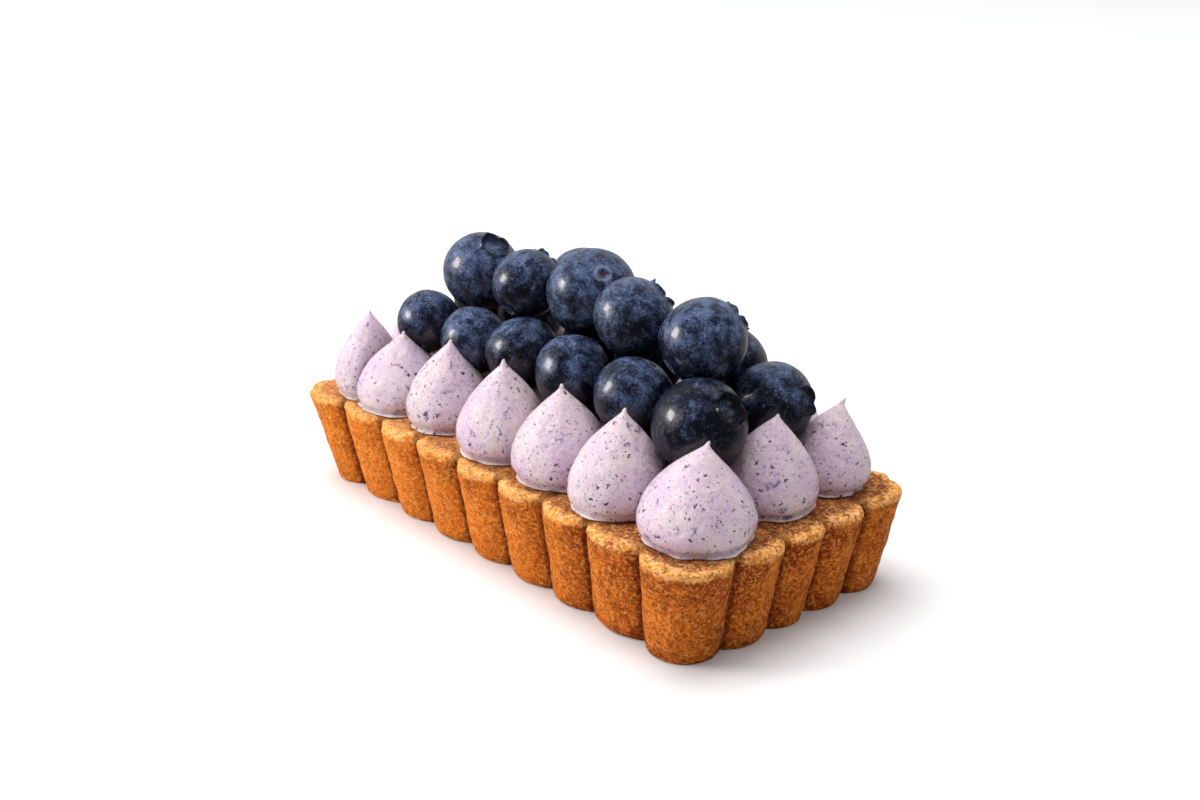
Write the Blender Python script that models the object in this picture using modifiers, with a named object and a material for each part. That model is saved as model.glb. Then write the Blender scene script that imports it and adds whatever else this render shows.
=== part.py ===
"""A blueberry tart: a fluted oblong crust, cream kisses piped round its top, and a heap of blueberries.

The long side runs along X, the top faces +Z, and the origin is the middle of the underside.
Sizes in the tables are millimetres on the real tart.
"""
import math
import random

import bmesh
import bpy
from mathutils import Matrix, Quaternion, Vector

MM = 0.001
SEED = 12
# Clear space left between any two pieces.
GAP = 0.3
# Points of a turned outline closer than this are one, and a plane cuts to this, in metres.
MERGE_DISTANCE = 0.00005
CUT_DISTANCE = 0.00001

# Crust, baked in a fluted oblong tin: the V-shaped grooves on its sides, seen from above at the top edge.
CRUST_HEIGHT = 19.0
LONG_GROOVE_X = (-44.2, -31.1, -18.7, -6.1, 6.3, 18.6, 30.2, 43.5)
SHORT_GROOVE_Y = (-15.6, -4.5, 5.1, 15.2)
LONG_GROOVE_Y = 25.1
SHORT_GROOVE_X = 56.1
# How far each flute swells out beyond the line between its grooves, at the top and at the bottom.
FLUTE_SWELL = (3.1, 2.1)
# The same for the four corners: at the top, and at the bottom from the near right one round to the near left.
CORNER_SWELL = 8.5
FOOT_CORNER_SWELL = (6.1, 7.5, 6.1, 6.1)
# The sides lean in towards the foot. There a groove's distance from the middle is these shares of what it
# is at the top: for the grooves of the long sides, for those of the short sides, and along its own side.
FOOT_SHARE_LONG = 0.888
FOOT_SHARE_SHORT = 0.936
FOOT_SHARE_ALONG = 0.965
RIM_RADIUS = 1.3
FOOT_RADIUS = 0.7
FLUTE_STEPS = 6
CORNER_STEPS = 12
# Angles along the quarter round of the foot and of the rim, and the angle above which an edge stays sharp.
FOOT_ANGLES = (0.0, 45.0, 90.0)
RIM_ANGLES = (0.0, 30.0, 60.0, 90.0)
SHARP_ANGLE = 35.0

# Cream kisses, one after another round the edge from the far left of the front: middle x and y, widest
# radius, height of the tip above the crust, how far the tip leans in x and y, and the height of the nib.
KISSES = (
    (-44.9, -18.0, 7.2, 17.2, 0.3, 0.3, 0.4),
    (-35.2, -17.0, 9.0, 14.9, 0.5, 0.6, 0.5),
    (-20.8, -16.0, 8.3, 16.7, 0.7, 0.5, 0.5),
    (-2.6, -16.8, 8.7, 17.7, 0.4, 0.2, 0.7),
    (13.2, -16.0, 9.2, 17.1, 0.1, 0.1, 0.65),
    (29.0, -16.6, 8.8, 17.3, 0.5, 0.9, 0.6),
    (46.4, -15.4, 9.8, 16.2, 0.6, 1.9, 0.55),
    (45.7, 2.5, 8.4, 16.7, 1.4, 0.0, 0.4),
    (46.2, 16.8, 7.5, 15.6, 1.4, 2.3, 0.7),
    (34.8, 17.5, 8.6, 16.7, 0.5, 0.9, 0.6),
    (17.5, 17.4, 8.4, 16.9, 0.6, -0.5, 0.5),
    (1.2, 17.2, 8.3, 17.2, -0.8, 0.3, 0.7),
    (-15.0, 17.5, 8.1, 16.3, 0.4, 0.7, 0.5),
    (-31.2, 17.3, 8.2, 16.8, -0.6, 0.5, 0.6),
    (-46.0, 16.6, 7.8, 16.5, 0.7, -0.4, 0.7),
    (-49.2, -1.0, 8.7, 16.9, -0.9, 0.1, 0.5),
)
KISS_STEPS = 14
# Heights, as shares of the bulb's height, at which its outline is set, from the top down to the crust.
KISS_LEVELS = (0.97, 0.91, 0.82, 0.70, 0.54, 0.37, 0.21, 0.08, 0.0)
# The bulb is widest here, draws in below it to this share of its width, and does so along this curve.
KISS_WIDEST_LEVEL = 0.21
KISS_BASE_SHARE = 0.80
KISS_BASE_CURVE = 2.2
# How full the bulb is above its widest level, how it narrows to the top, and the nib left by the nozzle.
KISS_FULLNESS = 1.81
KISS_TIP_CURVE = 1.056
NIB_RADIUS = 0.45
NIB_SHOULDER = 0.2
# A kiss leans only near its tip: the lean grows as the height to this power.
LEAN_CURVE = 4.5

# Blueberries, the front row, the back row from the right, then the upper layer: middle x and y, height of
# the middle above the crust, diameter, the way the crown points as a turn from +X and a rise, in degrees, and
# the length from crown to stem end as a share of the diameter.
BERRIES = (
    (-36.2, -9.4, 15.2, 12.6, -70, -50, 0.95),
    (-22.1, -8.6, 14.5, 13.1, -70, -50, 0.96),
    (-8.6, -7.4, 15.4, 13.7, 30, -65, 0.91),
    (6.9, -8.0, 15.5, 13.6, -30, -60, 0.98),
    (22.5, -7.6, 15.4, 14.0, -130, -60, 0.94),
    (39.1, -7.8, 14.9, 15.8, 7, 36, 0.97),
    (39.2, 9.8, 14.8, 14.0, 14, 14, 0.97),
    (24.9, 12.9, 16.5, 15.1, 120, 5, 0.93),
    (10.0, 7.9, 15.5, 13.8, 70, 5, 0.93),
    (-4.0, 7.0, 15.0, 13.2, 125, 30, 0.93),
    (-26.4, 9.0, 15.1, 13.8, 65, 35, 0.93),
    (-40.0, 7.7, 15.4, 13.2, 120, 5, 0.93),
    (-29.4, -0.9, 25.4, 15.3, 3, 55, 0.95),
    (-13.2, -2.3, 26.6, 13.2, 93, 42, 0.96),
    (1.4, 1.4, 27.4, 16.8, 159, -42, 0.91),
    (16.3, -1.9, 26.8, 14.6, 66, 37, 0.92),
    (31.1, 0.7, 25.7, 15.0, 68, 32, 0.96),
    (-13.5, 12.0, 23.8, 14.1, 135, 30, 0.93),
)
BERRY_STEPS = 15
HOLLOW_STEPS = 16
HOLLOW_RINGS = 10
# How far the crown stands out from the middle of a berry, against its half length.
CROWN_REACH = 1.08
# A berry this near to a corner of a kiss is tried for a hollow.
HOLLOW_MARGIN = 2.0
CROWN_LOBES = 5
# Outline of a berry of radius 1 from the middle of the crown round to the stem end: radius, height.
BERRY_PROFILE = (
    (0.0, 0.79), (0.22, 0.79), (0.33, 0.90), (0.42, 0.86), (0.63, 0.745), (0.87, 0.475),
    (0.99, 0.14), (0.965, -0.26), (0.79, -0.60), (0.46, -0.84), (0.13, -0.90), (0.0, -0.87),
)
BERRY_PROFILE_LENGTH = 0.90
CROWN_LIP_RADIUS = 0.33
CROWN_LIP_REACH = 0.02
CROWN_LOBE_HEIGHT = 0.04

# Bed of cream that the heap lies in, between the kisses.
BED_LENGTH = 75.0
BED_WIDTH = 12.6
BED_HEIGHT = 11.5
BED_EDGE_RADIUS = 4.0
BED_EDGE_STEPS = 2

# Plain colour and roughness of each material.
CRUST_FINISH = ((0.62, 0.30, 0.10), 0.75)
CREAM_FINISH = ((0.72, 0.60, 0.68), 0.45)
SKIN_FINISH = ((0.035, 0.045, 0.085), 0.42)

COLLECTION_NAME = "blueberry tart"


def start_scene():
    """Empties the scene and makes the collections for the pieces and for their cutters."""
    for obj in list(bpy.data.objects):
        bpy.data.objects.remove(obj, do_unlink=True)
    pieces = bpy.data.collections.new(COLLECTION_NAME)
    cutters = bpy.data.collections.new("cutters")
    bpy.context.scene.collection.children.link(pieces)
    bpy.context.scene.collection.children.link(cutters)
    return pieces, cutters


def make_material(name, finish):
    """Returns a plain material of one colour."""
    colour, roughness = finish
    material = bpy.data.materials.new(name)
    material.use_nodes = True
    shader = material.node_tree.nodes["Principled BSDF"]
    shader.inputs["Base Color"].default_value = (*colour, 1.0)
    shader.inputs["Roughness"].default_value = roughness
    shader.inputs["Metallic"].default_value = 0.0
    material.diffuse_color = (*colour, 1.0)
    return material


def new_object(name, mesh, collection, material=None):
    """Links a mesh to a collection as an object."""
    obj = bpy.data.objects.new(name, mesh)
    collection.objects.link(obj)
    if material is not None:
        mesh.materials.append(material)
    for face in mesh.polygons:
        face.use_smooth = True
    return obj


def turned_mesh(name, profile, steps, collection):
    """Turns an outline, radius and height from top to bottom, round the upright axis."""
    outline = bpy.data.meshes.new(name)
    points = [(radius * MM, 0.0, height * MM) for radius, height in profile]
    edges = [(index, index + 1) for index in range(len(points) - 1)]
    outline.from_pydata(points, edges, [])
    turning = bpy.data.objects.new(name + " outline", outline)
    collection.objects.link(turning)
    screw = turning.modifiers.new("turn", "SCREW")
    screw.axis = "Z"
    screw.angle = 2.0 * math.pi
    screw.steps = steps
    screw.render_steps = steps
    screw.use_merge_vertices = True
    screw.merge_threshold = MERGE_DISTANCE
    depsgraph = bpy.context.evaluated_depsgraph_get()
    mesh = bpy.data.meshes.new_from_object(turning.evaluated_get(depsgraph))
    bpy.data.objects.remove(turning, do_unlink=True)
    bpy.data.meshes.remove(outline)
    mesh.name = name
    return mesh


def arc_points(start, end, swell, steps):
    """Returns points from start up to end along an arc that swells out to the right of the way there."""
    chord = end - start
    length = chord.length
    outward = Vector((chord.y, -chord.x)) / length
    radius = (length * length / 4.0 + swell * swell) / (2.0 * swell)
    centre = (start + end) / 2.0 + outward * (swell - radius)
    first = math.atan2(start.y - centre.y, start.x - centre.x)
    last = math.atan2(end.y - centre.y, end.x - centre.x)
    if last < first:
        last += 2.0 * math.pi
    angles = [first + (last - first) * step / steps for step in range(steps)]
    return [centre + radius * Vector((math.cos(a), math.sin(a))) for a in angles]


def fluted_outline(level):
    """Returns the crust's outline in plan, where level is 0 at the bottom and 1 at the top."""
    across_long = FOOT_SHARE_LONG + (1.0 - FOOT_SHARE_LONG) * level
    across_short = FOOT_SHARE_SHORT + (1.0 - FOOT_SHARE_SHORT) * level
    along = FOOT_SHARE_ALONG + (1.0 - FOOT_SHARE_ALONG) * level
    half = [Vector((x * along, -LONG_GROOVE_Y * across_long)) for x in LONG_GROOVE_X]
    half += [Vector((SHORT_GROOVE_X * across_short, y * along)) for y in SHORT_GROOVE_Y]
    grooves = half + [-groove for groove in half]
    swell = FLUTE_SWELL[1] + (FLUTE_SWELL[0] - FLUTE_SWELL[1]) * level
    corners = [len(LONG_GROOVE_X) - 1, len(half) - 1]
    corners += [index + len(half) for index in corners]
    outline = []
    for index, groove in enumerate(grooves):
        following = grooves[(index + 1) % len(grooves)]
        if index in corners:
            foot_swell = FOOT_CORNER_SWELL[corners.index(index)]
            corner_swell = foot_swell + (CORNER_SWELL - foot_swell) * level
            outline += arc_points(groove, following, corner_swell, CORNER_STEPS)
        else:
            outline += arc_points(groove, following, swell, FLUTE_STEPS)
    return outline


def drawn_in(outline, distance):
    """Moves each point of an anticlockwise outline inwards by a distance."""
    moved = []
    count = len(outline)
    for index, point in enumerate(outline):
        along = (outline[(index + 1) % count] - outline[index - 1]).normalized()
        moved.append(point + Vector((-along.y, along.x)) * distance)
    return moved


def make_crust(collection, material):
    """Lofts the fluted outline from foot to rim, with both edges rounded, and closes both ends."""
    foot_curve = [math.radians(angle) for angle in FOOT_ANGLES]
    rim_curve = [math.radians(angle) for angle in RIM_ANGLES]
    sections = [(FOOT_RADIUS * (1.0 - math.cos(a)), FOOT_RADIUS * (1.0 - math.sin(a))) for a in foot_curve]
    sections += [(CRUST_HEIGHT - RIM_RADIUS * (1.0 - math.sin(a)), RIM_RADIUS * (1.0 - math.cos(a)))
                 for a in rim_curve]
    body = bmesh.new()
    previous = None
    for height, inset in sections:
        outline = drawn_in(fluted_outline(height / CRUST_HEIGHT), inset)
        ring = [body.verts.new((p.x * MM, p.y * MM, height * MM)) for p in outline]
        if previous is None:
            body.faces.new(list(reversed(ring)))
        else:
            for index in range(len(ring)):
                after = (index + 1) % len(ring)
                body.faces.new((previous[index], previous[after], ring[after], ring[index]))
        previous = ring
    body.faces.new(previous)
    mesh = bpy.data.meshes.new("crust")
    body.to_mesh(mesh)
    body.free()
    crust = new_object("crust", mesh, collection, material)
    mesh.set_sharp_from_angle(angle=math.radians(SHARP_ANGLE))
    return crust


def bulb_share(level):
    """Returns a kiss's radius at a level of its bulb, as a share of its widest."""
    if level <= KISS_WIDEST_LEVEL:
        below = (KISS_WIDEST_LEVEL - level) / KISS_WIDEST_LEVEL
        return 1.0 - (1.0 - KISS_BASE_SHARE) * below ** KISS_BASE_CURVE
    above = (level - KISS_WIDEST_LEVEL) / (1.0 - KISS_WIDEST_LEVEL)
    return (1.0 - above ** KISS_FULLNESS) ** KISS_TIP_CURVE


def kiss_profile(radius, height, nib):
    """Returns a kiss's outline from the tip down: a nib that flares into the bulb."""
    profile = [(0.0, height), (NIB_RADIUS, height - NIB_SHOULDER)]
    bulb = height - nib
    profile += [(math.hypot(radius * bulb_share(level), NIB_RADIUS), bulb * level) for level in KISS_LEVELS]
    return profile + [(0.0, 0.0)]


def cut_along_plane(mesh, point, outward):
    """Cuts off what lies beyond a plane and closes the cut."""
    body = bmesh.new()
    body.from_mesh(mesh)
    everything = body.verts[:] + body.edges[:] + body.faces[:]
    result = bmesh.ops.bisect_plane(
        body, geom=everything, dist=CUT_DISTANCE, plane_co=point, plane_no=outward, clear_outer=True)
    edges = [item for item in result["geom_cut"] if isinstance(item, bmesh.types.BMEdge)]
    if edges:
        bmesh.ops.contextual_create(body, geom=edges)
    body.to_mesh(mesh)
    body.free()


def make_kiss(index, collection, material, cutters, berry_cutters):
    """Pipes one kiss, flattened where it meets its neighbours and pressed in by the berries on it."""
    x, y, radius, height, lean_x, lean_y, nib = KISSES[index]
    profile = kiss_profile(radius, height, nib)
    mesh = turned_mesh("kiss_%02d" % (index + 1), profile, KISS_STEPS, cutters)
    for vertex in mesh.vertices:
        share = max(0.0, vertex.co.z / (height * MM)) ** LEAN_CURVE
        vertex.co.x += lean_x * MM * share
        vertex.co.y += lean_y * MM * share
    here = Vector((x, y))
    for step in (-1, 1):
        other = KISSES[(index + step) % len(KISSES)]
        way = Vector(other[:2]) - here
        distance = way.length
        if distance > radius + other[2] + GAP:
            continue
        middle = (distance * distance + radius * radius - other[2] * other[2]) / (2.0 * distance)
        way.normalize()
        face = way * (middle - GAP / 2.0) * MM
        cut_along_plane(mesh, (face.x, face.y, 0.0), (way.x, way.y, 0.0))
    kiss = new_object(mesh.name, mesh, collection, material)
    kiss.location = (x * MM, y * MM, (CRUST_HEIGHT + GAP) * MM)
    bpy.context.view_layer.update()
    for cutter, centre, reach in berry_cutters:
        near = reach + HOLLOW_MARGIN * MM
        if any((kiss.matrix_world @ vertex.co - centre).length < near for vertex in mesh.vertices):
            hollow = kiss.modifiers.new("berry", "BOOLEAN")
            hollow.operation = "DIFFERENCE"
            hollow.solver = "EXACT"
            hollow.object = cutter
    return kiss


def make_berry(index, collection, material, cutters, draw):
    """Makes one berry with its five-lobed crown and sets it in the heap."""
    x, y, height, diameter, crown_turn, crown_rise, length = BERRIES[index]
    radius = diameter / 2.0
    stretch = length / BERRY_PROFILE_LENGTH
    profile = [(share * radius, level * radius * stretch) for share, level in BERRY_PROFILE]
    mesh = turned_mesh("berry_%02d" % (index + 1), profile, BERRY_STEPS, cutters)
    for vertex in mesh.vertices:
        from_axis = math.hypot(vertex.co.x, vertex.co.y) / (radius * MM)
        if vertex.co.z > 0.0 and abs(from_axis - CROWN_LIP_RADIUS) < CROWN_LIP_REACH:
            turn = math.atan2(vertex.co.y, vertex.co.x)
            vertex.co.z += CROWN_LOBE_HEIGHT * radius * MM * math.cos(CROWN_LOBES * turn)
    berry = new_object(mesh.name, mesh, collection, material)
    spin = Quaternion((0.0, 0.0, 1.0), draw.uniform(0.0, 2.0 * math.pi))
    turn = Quaternion((0.0, 0.0, 1.0), math.radians(crown_turn))
    lean = Quaternion((0.0, 1.0, 0.0), math.radians(90.0 - crown_rise))
    berry.rotation_mode = "QUATERNION"
    berry.rotation_quaternion = turn @ lean @ spin
    berry.location = (x * MM, y * MM, (CRUST_HEIGHT + height) * MM)
    return berry


def make_berry_cutter(index, collection):
    """Makes the ball that a berry hollows out of the cream, a little larger than the berry."""
    x, y, height, diameter, _turn, _rise, length = BERRIES[index]
    reach = (diameter / 2.0 * max(1.0, length * CROWN_REACH) + GAP) * MM
    centre = Vector((x * MM, y * MM, (CRUST_HEIGHT + height) * MM))
    body = bmesh.new()
    bmesh.ops.create_uvsphere(body, u_segments=HOLLOW_STEPS, v_segments=HOLLOW_RINGS, radius=reach)
    mesh = bpy.data.meshes.new("hollow_%02d" % (index + 1))
    body.to_mesh(mesh)
    body.free()
    cutter = bpy.data.objects.new(mesh.name, mesh)
    cutter.location = centre
    cutter.hide_render = True
    cutter.display_type = "WIRE"
    collection.objects.link(cutter)
    return cutter, centre, reach


def make_bed(collection, material, berry_cutters):
    """Makes the bed of cream under the heap, hollowed by the berries that lie in it."""
    body = bmesh.new()
    size = Matrix.Diagonal((BED_LENGTH * MM, BED_WIDTH * MM, BED_HEIGHT * MM, 1.0))
    bmesh.ops.create_cube(body, size=1.0, matrix=size)
    mesh = bpy.data.meshes.new("cream_bed")
    body.to_mesh(mesh)
    body.free()
    bed = new_object("cream_bed", mesh, collection, material)
    bottom = CRUST_HEIGHT + GAP
    bed.location = (0.0, 0.0, (bottom + BED_HEIGHT / 2.0) * MM)
    rounding = bed.modifiers.new("round", "BEVEL")
    rounding.width = BED_EDGE_RADIUS * MM
    rounding.segments = BED_EDGE_STEPS
    top = (bottom + BED_HEIGHT) * MM
    for cutter, centre, reach in berry_cutters:
        if centre.z - reach < top and abs(centre.y) - reach < BED_WIDTH * MM / 2.0:
            hollow = bed.modifiers.new("berry", "BOOLEAN")
            hollow.operation = "DIFFERENCE"
            hollow.solver = "EXACT"
            hollow.object = cutter
    return bed


def build():
    """Builds the whole tart."""
    pieces, cutters = start_scene()
    draw = random.Random(SEED)
    baked = make_material("baked_crust", CRUST_FINISH)
    cream = make_material("blueberry_cream", CREAM_FINISH)
    skin = make_material("blueberry_skin", SKIN_FINISH)
    make_crust(pieces, baked)
    for index in range(len(BERRIES)):
        make_berry(index, pieces, skin, cutters, draw)
    berry_cutters = [make_berry_cutter(index, cutters) for index in range(len(BERRIES))]
    for index in range(len(KISSES)):
        make_kiss(index, pieces, cream, cutters, berry_cutters)
    make_bed(pieces, cream, berry_cutters)
    used = {modifier.object for piece in pieces.objects for modifier in piece.modifiers
            if modifier.type == "BOOLEAN"}
    for cutter, _centre, _reach in berry_cutters:
        if cutter not in used:
            bpy.data.objects.remove(cutter, do_unlink=True)


build()
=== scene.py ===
import bpy
import numpy as np
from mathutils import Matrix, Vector


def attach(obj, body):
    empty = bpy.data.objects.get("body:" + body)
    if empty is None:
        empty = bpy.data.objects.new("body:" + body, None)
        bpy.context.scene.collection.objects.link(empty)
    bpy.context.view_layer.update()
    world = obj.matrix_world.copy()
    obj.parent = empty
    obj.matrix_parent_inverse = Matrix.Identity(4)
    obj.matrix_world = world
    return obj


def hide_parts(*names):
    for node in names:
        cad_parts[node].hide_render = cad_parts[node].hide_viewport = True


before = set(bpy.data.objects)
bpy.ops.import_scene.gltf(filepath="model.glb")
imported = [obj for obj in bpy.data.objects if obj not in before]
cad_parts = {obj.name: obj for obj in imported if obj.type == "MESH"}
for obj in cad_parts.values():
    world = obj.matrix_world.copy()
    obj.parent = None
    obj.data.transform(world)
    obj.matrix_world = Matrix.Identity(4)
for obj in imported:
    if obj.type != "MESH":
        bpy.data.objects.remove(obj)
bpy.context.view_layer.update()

# Crust.
# Shortcrust baked in a fluted oblong tin, so that the flutes, the lean of the sides and the rounded rim are
# the tin's own. Its top is level. It stands on its flat underside and carries all the rest.

MM = 0.001
CRUST_HEIGHT = 19.0 * MM
# Where the grooves between the flutes meet the rim. The hidden half is the shown half turned half round.
LONG_GROOVE_X = np.array((-44.2, -31.1, -18.7, -6.1, 6.3, 18.6, 30.2, 43.5)) * MM
SHORT_GROOVE_Y = np.array((-15.6, -4.5, 5.1, 15.2)) * MM
LONG_GROOVE_Y = 25.1 * MM
SHORT_GROOVE_X = 56.1 * MM
# How far a flute swells out between its grooves, at the foot and at the rim.
FLUTE_SWELL = (2.1 * MM, 3.1 * MM)
# The same for the corners: at the rim, and at the foot of the near, right, back and left corner.
CORNER_SWELL = 8.5 * MM
FOOT_CORNER_SWELL = np.array((6.1, 7.5, 6.1, 6.1)) * MM
# A groove's distance from the middle at the foot as a share of that at the rim, in x and y, for the grooves
# of the long sides and for those of the short sides.
FOOT_SHARE_LONG = np.array((0.965, 0.888))
FOOT_SHARE_SHORT = np.array((0.936, 0.965))
RIM_RADIUS = 1.3 * MM
FOOT_RADIUS = 0.7 * MM
# The top runs from the fluted rim to an almost plain oblong this far inside the grooves.
OBLONG_INSET = 4.0 * MM
OBLONG_SWELL_SHARE = 0.03
# Points round a flute and round a corner, and rings over each stretch of the surface.
FLUTE_STEPS = 40
CORNER_STEPS = 72
UNDERSIDE_RINGS = 4
QUARTER_RINGS = 7
WALL_RINGS = 44
FLUTED_TOP_RINGS = 15
MIDDLE_RINGS = 12
FIRST_TOP_RING = UNDERSIDE_RINGS + 2 * QUARTER_RINGS + WALL_RINGS
# The crust's unevenness, from broad to fine: the size of its patches, their depth and the noise's seed.
CRUST_UNEVEN = ((7.0 * MM, 0.14 * MM, 1), (2.6 * MM, 0.09 * MM, 2), (1.1 * MM, 0.12 * MM, 3),
                (0.7 * MM, 0.08 * MM, 5))
CRUST_SHRUNK = 0.16 * MM
CRUMBLE_SIZE = 2.2 * MM
CRUMBLE_DEPTH = 0.60 * MM
# Numbers that scatter the corners of the noise's lattice.
NOISE_SEED_STEP = 17.31
NOISE_WEIGHTS = np.array((127.1, 311.7, 74.7))
NOISE_FACTOR = 43758.5453


def blended_noise(points, size, seed):
    """Random numbers from -1 to 1 on the corners of a lattice whose cells have the given size, blended
    smoothly between the eight corners round each point with weights 3t^2 - 2t^3 along each side."""
    place = points / size + NOISE_SEED_STEP * seed
    cell = np.floor(place)
    part = place - cell
    part = part * part * (3.0 - 2.0 * part)
    total = 0.0
    for corner in np.ndindex(2, 2, 2):
        number = np.sin((cell + corner) @ NOISE_WEIGHTS) * NOISE_FACTOR
        number = number - np.floor(number)
        weight = np.prod(np.where(np.array(corner) == 1, part, 1.0 - part), axis=-1)
        total = total + weight * number
    return 2.0 * total - 1.0


def smooth_step(low, high, value):
    """0 below low, 1 above high and 3t^2 - 2t^3 between them."""
    share = np.clip((value - low) / (high - low), 0.0, 1.0)
    return share * share * (3.0 - 2.0 * share)


def grid_normals(grid):
    """Unit normals of a surface given as rings of points: the cross product of the step to the next point of
    the ring and the step to the next ring."""
    along = np.roll(grid, -1, axis=1) - np.roll(grid, 1, axis=1)
    across = np.gradient(grid, axis=0)
    normal = np.cross(along, across)
    return normal / np.maximum(np.linalg.norm(normal, axis=2, keepdims=True), 1e-12)


def closed_piece(name, grid, marks=None):
    """Makes a piece from rings of points that run from one pole to the other. Neighbouring rings are joined
    by quads, and the first and last ring, which have shrunk to a point, become one vertex with a fan each.
    Marks are values that the vertices carry for the finish."""
    rings, count = grid.shape[:2]
    inner = grid[1:-1].reshape(-1, 3)
    points = np.concatenate((grid[:1, 0], inner, grid[-1:, 0]))
    ring = np.arange(rings - 3)[:, None] * count + 1
    here = np.arange(count)[None, :]
    after = (here + 1) % count
    quads = np.stack((ring + here, ring + after, ring + count + after, ring + count + here), axis=-1)
    quads = quads.reshape(-1, 4)
    last = len(points) - 1
    final = 1 + (rings - 3) * count
    first_fan = np.stack((np.zeros(count, int), after[0] + 1, here[0] + 1), axis=-1)
    last_fan = np.stack((np.full(count, last), final + here[0], final + after[0]), axis=-1)
    side = points[quads]
    towards = np.cross(side[:, 1] - side[:, 0], side[:, 2] - side[:, 0])
    volume = np.sum(towards * (side.mean(axis=1) - points.mean(axis=0)))
    if volume < 0.0:
        quads, first_fan, last_fan = quads[:, ::-1], first_fan[:, ::-1], last_fan[:, ::-1]
    mesh = bpy.data.meshes.new(name)
    mesh.from_pydata(points.tolist(), [], quads.tolist() + first_fan.tolist() + last_fan.tolist())
    mesh.shade_smooth()
    for label, values in (marks or {}).items():
        flat = np.concatenate((values[:1, 0], values[1:-1].ravel(), values[-1:, 0]))
        layer = mesh.attributes.new(label, "FLOAT", "POINT")
        layer.data.foreach_set("value", flat.astype(np.float32))
    piece = bpy.data.objects.new(name, mesh)
    bpy.context.scene.collection.objects.link(piece)
    return piece


def fluted_outline(level, inset=0.0, swell_share=1.0):
    """Plan of the crust at a level from 0 at the foot to 1 at the rim. Between each two grooves runs the arc
    through them that swells out by the flute's depth. The grooves can be set in and the swell made less,
    which smooths the flutes away. Gives the points, how far along its flute each is, and the flute's number,
    from the left end of the front round the edge."""
    front = np.stack((LONG_GROOVE_X, np.full(len(LONG_GROOVE_X), inset - LONG_GROOVE_Y)), axis=-1)
    end = np.stack((np.full(len(SHORT_GROOVE_Y), SHORT_GROOVE_X - inset), SHORT_GROOVE_Y), axis=-1)
    front = front * (FOOT_SHARE_LONG + (1.0 - FOOT_SHARE_LONG) * level)
    end = end * (FOOT_SHARE_SHORT + (1.0 - FOOT_SHARE_SHORT) * level)
    half = np.concatenate((front, end))
    groove = np.concatenate((half, -half))
    following = np.roll(groove, -1, axis=0)
    number = np.arange(len(groove)) % len(half)
    at_corner = (number == len(LONG_GROOVE_X) - 1) | (number == len(half) - 1)
    swell = np.full(len(groove), np.interp(level, (0, 1), FLUTE_SWELL) * swell_share)
    corner_swell = FOOT_CORNER_SWELL + (CORNER_SWELL - FOOT_CORNER_SWELL) * level
    swell[at_corner] = corner_swell * (0.5 + 0.5 * swell_share)
    chord = following - groove
    length = np.linalg.norm(chord, axis=1)
    outward = np.stack((chord[:, 1], -chord[:, 0]), axis=-1) / length[:, None]
    radius = (length ** 2 / 4.0 + swell ** 2) / (2.0 * swell)
    centre = (groove + following) / 2.0 + outward * (swell - radius)[:, None]
    first = np.arctan2(*(groove - centre).T[::-1])
    sweep = (np.arctan2(*(following - centre).T[::-1]) - first) % (2.0 * np.pi)
    steps = np.where(at_corner, CORNER_STEPS, FLUTE_STEPS)
    which = np.repeat(np.arange(len(groove)), steps)
    share = np.concatenate([np.arange(count) / count for count in steps])
    angle = first[which] + sweep[which] * share
    points = centre[which] + radius[which, None] * np.stack((np.cos(angle), np.sin(angle)), axis=-1)
    return points, share, which


def drawn_in(points, distance):
    """The outline moved inwards by a distance, square to the way from each point's neighbour to the next."""
    along = np.roll(points, -1, axis=0) - np.roll(points, 1, axis=0)
    along = along / np.linalg.norm(along, axis=1, keepdims=True)
    return points + np.stack((-along[:, 1], along[:, 0]), axis=-1) * distance


def crust_grid():
    """Rings of the crust from the middle of the underside out along it, round the foot, up the wall, round
    the rim and back in to the middle of the top. Foot and rim are quarter circles. The underside's rings are
    the foot's shrunk towards the middle. The top's change from the rim's to the plain oblong's, which then
    shrinks. Also gives each point's share of its flute and the flute's number."""
    quarter = np.linspace(0.0, np.pi / 2.0, QUARTER_RINGS)
    foot = np.stack((FOOT_RADIUS * (1.0 - np.cos(quarter)), FOOT_RADIUS * (1.0 - np.sin(quarter))), axis=-1)
    rim = np.stack((CRUST_HEIGHT - RIM_RADIUS * (1.0 - np.sin(quarter)),
                    RIM_RADIUS * (1.0 - np.cos(quarter))), axis=-1)
    wall_height = np.linspace(foot[-1, 0], rim[0, 0], WALL_RINGS + 2)[1:-1]
    wall = np.stack((wall_height, np.zeros(WALL_RINGS)), axis=-1)
    rings = []
    for height, inset in np.concatenate((foot, wall, rim)):
        points, share, which = fluted_outline(height / CRUST_HEIGHT)
        plan = drawn_in(points, inset)
        rings.append(np.column_stack((plan, np.full(len(plan), height))))
    rings = np.stack(rings)
    flat = np.array((1.0, 1.0, 0.0))
    underside = rings[0] * flat * np.linspace(0.0, 1.0, UNDERSIDE_RINGS + 1)[:-1, None, None]
    oblong = fluted_outline(1.0, OBLONG_INSET, OBLONG_SWELL_SHARE)[0]
    oblong = np.column_stack((oblong, np.full(len(oblong), CRUST_HEIGHT)))
    across = np.linspace(0.0, 1.0, FLUTED_TOP_RINGS + 1)[1:, None, None]
    fluted_top = rings[-1] * (1.0 - across) + oblong * across
    middle = oblong * (np.linspace(0.97, 0.0, MIDDLE_RINGS)[:, None, None] * flat + (1.0 - flat))
    grid = np.concatenate((underside, rings, fluted_top, middle))
    return grid, np.broadcast_to(share, grid.shape[:2]), which


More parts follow.
